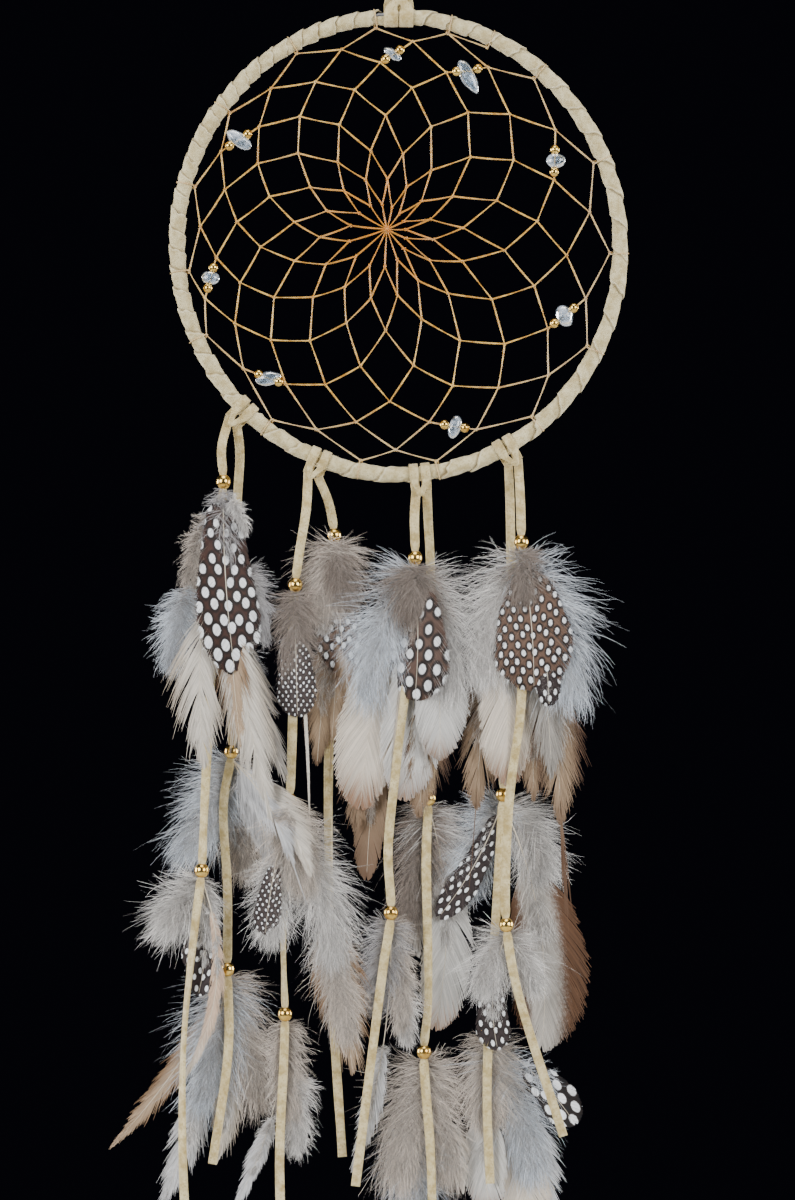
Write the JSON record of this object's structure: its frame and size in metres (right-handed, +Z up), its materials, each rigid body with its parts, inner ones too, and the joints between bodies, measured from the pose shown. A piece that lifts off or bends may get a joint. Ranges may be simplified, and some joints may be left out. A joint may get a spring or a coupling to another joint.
{
  "type": "dream catcher",
  "caption": "Wrapped hoop with a knotted sinew web and stone charms, hung from a lace loop, with hanging pairs of beaded, feathered suede laces.",
  "frame": {"origin": "the inside crown of the hanging loop, where the nail sits", "axes": "+Z up, the front of the hoop faces -Y, +X to the right seen from the front"},
  "size_m": [0.1723, 0.0124, 0.4862],
  "materials": {
    "lace": "matt suede",
    "wrap": "matt suede",
    "wire": "drawn wire",
    "sinew": "waxed thread",
    "stone": "tumbled clear quartz",
    "brass": "polished",
    "feather": "matt"
  },
  "bodies": {
    "hanging_loop": {"hanging_loop": "lace", "loop_knot": "lace"},
    "hanger": {"hanger_hitch": "lace"},
    "hoop": {"hoop_ring": "wire", "hoop_wrap": "wrap", "web": "sinew", "hitch_a": "lace", "hitch_b": "lace", "hitch_c": "lace", "hitch_d": "lace"},
    "charm_1": {"charm_1": "stone"},
    "charm_2": {"charm_2": "stone"},
    "charm_3": {"charm_3": "stone"},
    "charm_4": {"charm_4": "stone"},
    "charm_5": {"charm_5": "stone"},
    "charm_6": {"charm_6": "stone"},
    "charm_7": {"charm_7": "stone"},
    "charm_8": {"charm_8": "stone"},
    "back_tail_a": {"lace_a2": "lace", "bead_a2_upper": "brass", "bead_a2_lower": "brass"},
    "feathers_a2_upper": {"feathers_a2_upper": "feather"},
    "feathers_a2_lower": {"feathers_a2_lower": "feather"},
    "front_tail_a": {"lace_a1": "lace", "bead_a1_upper": "brass", "bead_a1_lower": "brass", "feathers_a1_lower": "feather"},
    "feathers_a1_upper": {"feathers_a1_upper": "feather"},
    "back_tail_b": {"lace_b2": "lace", "bead_b2_upper": "brass", "feathers_b2_upper": "feather"},
    "front_tail_b": {"lace_b1": "lace", "bead_b1_upper": "brass", "bead_b1_middle": "brass", "feathers_b1_middle": "feather", "bead_b1_lower": "brass", "feathers_b1_lower": "feather"},
    "feathers_b1_upper": {"feathers_b1_upper": "feather"},
    "back_tail_c": {"lace_c2": "lace", "bead_c2_upper": "brass", "bead_c2_lower": "brass"},
    "feathers_c2_upper": {"feathers_c2_upper": "feather"},
    "feathers_c2_lower": {"feathers_c2_lower": "feather"},
    "front_tail_c": {"lace_c1": "lace", "bead_c1_upper": "brass", "bead_c1_lower": "brass", "feathers_c1_lower": "feather"},
    "feathers_c1_upper": {"feathers_c1_upper": "feather"},
    "back_tail_d": {"lace_d2": "lace", "bead_d2_upper": "brass", "bead_d2_lower": "brass"},
    "feathers_d2_upper": {"feathers_d2_upper": "feather"},
    "feathers_d2_lower": {"feathers_d2_lower": "feather"},
    "front_tail_d": {"lace_d1": "lace", "bead_d1_upper": "brass", "bead_d1_lower": "brass", "feathers_d1_lower": "feather"},
    "feathers_d1_upper": {"feathers_d1_upper": "feather"}
  },
  "joints": [
    {"name": "hanger_twist", "type": "hinge", "parent": "hanging_loop", "child": "hanger", "pos_m": [0, 0, -0.05703], "axis": [0, 0, 1], "range_deg": [-90, 90], "stiffness_Nm_per_rad": 0.0006},
    {"name": "hoop_swing", "type": "hinge", "parent": "hanger", "child": "hoop", "pos_m": [0, 0, -0.06263], "axis": [-1, 0, 0], "range_deg": [-25, 25]},
    {"name": "charm_1_turn", "type": "hinge", "parent": "hoop", "child": "charm_1", "pos_m": [-0.002, 0, -0.07524], "axis": [0.8403, 0, 0.5421], "range_deg": [-60, 60]},
    {"name": "charm_2_turn", "type": "hinge", "parent": "hoop", "child": "charm_2", "pos_m": [0.02267, 0, -0.08034], "axis": [0.9919, 0, 0.1273], "range_deg": [-60, 60]},
    {"name": "charm_3_turn", "type": "hinge", "parent": "hoop", "child": "charm_3", "pos_m": [0.05165, 0, -0.11047], "axis": [0.0299, 0, 0.9996], "range_deg": [-60, 60]},
    {"name": "charm_4_turn", "type": "hinge", "parent": "hoop", "child": "charm_4", "pos_m": [0.05483, 0, -0.16177], "axis": [0.7852, 0, 0.6192], "range_deg": [-60, 60]},
    {"name": "charm_5_turn", "type": "hinge", "parent": "hoop", "child": "charm_5", "pos_m": [0.01853, 0, -0.19843], "axis": [0.9874, 0, -0.1584], "range_deg": [-60, 60]},
    {"name": "charm_6_turn", "type": "hinge", "parent": "hoop", "child": "charm_6", "pos_m": [-0.04308, 0, -0.18244], "axis": [0.9386, 0, -0.3449], "range_deg": [-60, 60]},
    {"name": "charm_7_turn", "type": "hinge", "parent": "hoop", "child": "charm_7", "pos_m": [-0.06237, 0, -0.14926], "axis": [0.2653, 0, 0.9642], "range_deg": [-60, 60]},
    {"name": "charm_8_turn", "type": "hinge", "parent": "hoop", "child": "charm_8", "pos_m": [-0.05311, 0, -0.10357], "axis": [0.8414, 0, 0.5405], "range_deg": [-60, 60]},
    {"name": "pair_a_swing", "type": "hinge", "parent": "hoop", "child": "back_tail_a", "pos_m": [-0.05496, 0.0009, -0.19692], "axis": [-1, 0, 0], "range_deg": [-20, 20]},
    {"name": "feathers_a2_upper_flutter", "type": "hinge", "parent": "back_tail_a", "child": "feathers_a2_upper", "pos_m": [-0.05581, 0.0049, -0.30899], "axis": [1, 0, 0], "range_deg": [0, 20]},
    {"name": "feathers_a2_lower_flutter", "type": "hinge", "parent": "back_tail_a", "child": "feathers_a2_lower", "pos_m": [-0.05689, 0.0049, -0.3813], "axis": [1, 0, 0], "range_deg": [0, 20]},
    {"name": "front_tail_a_splay", "type": "hinge", "parent": "back_tail_a", "child": "front_tail_a", "pos_m": [-0.05496, 0.0009, -0.19692], "axis": [-1, 0, 0], "range_deg": [0, 15]},
    {"name": "feathers_a1_upper_flutter", "type": "hinge", "parent": "front_tail_a", "child": "feathers_a1_upper", "pos_m": [-0.05801, -0.0049, -0.2195], "axis": [-1, 0, 0], "range_deg": [0, 20]},
    {"name": "pair_b_swing", "type": "hinge", "parent": "hoop", "child": "back_tail_b", "pos_m": [-0.0284, 0.0009, -0.21455], "axis": [-1, 0, 0], "range_deg": [-20, 20]},
    {"name": "front_tail_b_splay", "type": "hinge", "parent": "back_tail_b", "child": "front_tail_b", "pos_m": [-0.0284, 0.0009, -0.21455], "axis": [-1, 0, 0], "range_deg": [0, 15]},
    {"name": "feathers_b1_upper_flutter", "type": "hinge", "parent": "front_tail_b", "child": "feathers_b1_upper", "pos_m": [-0.03443, -0.0049, -0.25359], "axis": [-1, 0, 0], "range_deg": [0, 20]},
    {"name": "pair_c_swing", "type": "hinge", "parent": "hoop", "child": "back_tail_c", "pos_m": [0.00754, 0.0009, -0.21985], "axis": [-1, 0, 0], "range_deg": [-20, 20]},
    {"name": "feathers_c2_upper_flutter", "type": "hinge", "parent": "back_tail_c", "child": "feathers_c2_upper", "pos_m": [0.00986, 0.0049, -0.3246], "axis": [1, 0, 0], "range_deg": [0, 20]},
    {"name": "feathers_c2_lower_flutter", "type": "hinge", "parent": "back_tail_c", "child": "feathers_c2_lower", "pos_m": [0.00838, 0.0049, -0.4088], "axis": [1, 0, 0], "range_deg": [0, 20]},
    {"name": "front_tail_c_splay", "type": "hinge", "parent": "back_tail_c", "child": "front_tail_c", "pos_m": [0.00754, 0.0009, -0.21985], "axis": [-1, 0, 0], "range_deg": [0, 15]},
    {"name": "feathers_c1_upper_flutter", "type": "hinge", "parent": "front_tail_c", "child": "feathers_c1_upper", "pos_m": [0.00534, -0.0049, -0.2447], "axis": [-1, 0, 0], "range_deg": [0, 20]},
    {"name": "pair_d_swing", "type": "hinge", "parent": "hoop", "child": "back_tail_d", "pos_m": [0.03801, 0.0009, -0.21039], "axis": [-1, 0, 0], "range_deg": [-20, 20]},
    {"name": "feathers_d2_upper_flutter", "type": "hinge", "parent": "back_tail_d", "child": "feathers_d2_upper", "pos_m": [0.03448, 0.0049, -0.3233], "axis": [1, 0, 0], "range_deg": [0, 20]},
    {"name": "feathers_d2_lower_flutter", "type": "hinge", "parent": "back_tail_d", "child": "feathers_d2_lower", "pos_m": [0.0298, 0.0049, -0.4015], "axis": [1, 0, 0], "range_deg": [0, 20]},
    {"name": "front_tail_d_splay", "type": "hinge", "parent": "back_tail_d", "child": "front_tail_d", "pos_m": [0.03801, 0.0009, -0.21039], "axis": [-1, 0, 0], "range_deg": [0, 15]},
    {"name": "feathers_d1_upper_flutter", "type": "hinge", "parent": "front_tail_d", "child": "feathers_d1_upper", "pos_m": [0.04066, -0.0049, -0.2394], "axis": [-1, 0, 0], "range_deg": [0, 20]}
  ]
}
